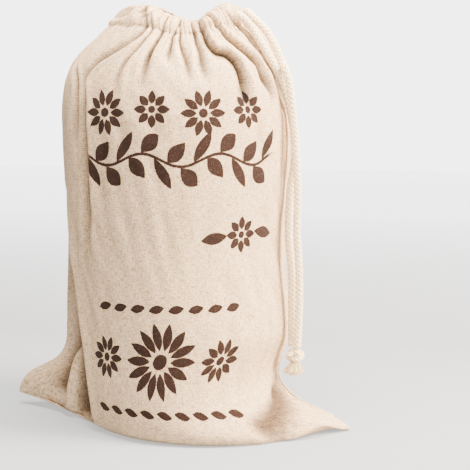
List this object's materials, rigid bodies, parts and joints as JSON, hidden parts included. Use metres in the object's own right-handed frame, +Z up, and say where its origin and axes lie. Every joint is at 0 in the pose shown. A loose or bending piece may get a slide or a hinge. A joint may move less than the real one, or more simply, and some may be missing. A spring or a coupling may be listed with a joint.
{
  "type": "drawstring bread bag",
  "caption": "Filled linen bag drawn up at the mouth by a cotton drawstring, with pointed seam corners on the ground and a knotted, frayed cord end.",
  "frame": {"origin": "middle of the two panels' box at the ground", "axes": "+Z up, -Y out of the printed front, +X towards the side where the drawstring hangs"},
  "size_m": [0.301, 0.2157, 0.3532],
  "materials": {
    "linen_front": "natural plain-woven linen and cotton with slubs, with a dark brown print",
    "linen_back": "natural plain-woven linen and cotton with slubs, unprinted",
    "cotton_cord": "cream braided cotton cord",
    "knotted_cord": "cream braided cotton cord, knotted",
    "frayed_yarn": "cream cotton yarn, combed out"
  },
  "bodies": {
    "root": {"front_panel": "linen_front", "back_panel": "linen_back", "drawstring_strand_a": "cotton_cord", "drawstring_strand_b": "cotton_cord", "drawstring_knot": "knotted_cord", "drawstring_tassel": "frayed_yarn"}
  },
  "joints": []
}
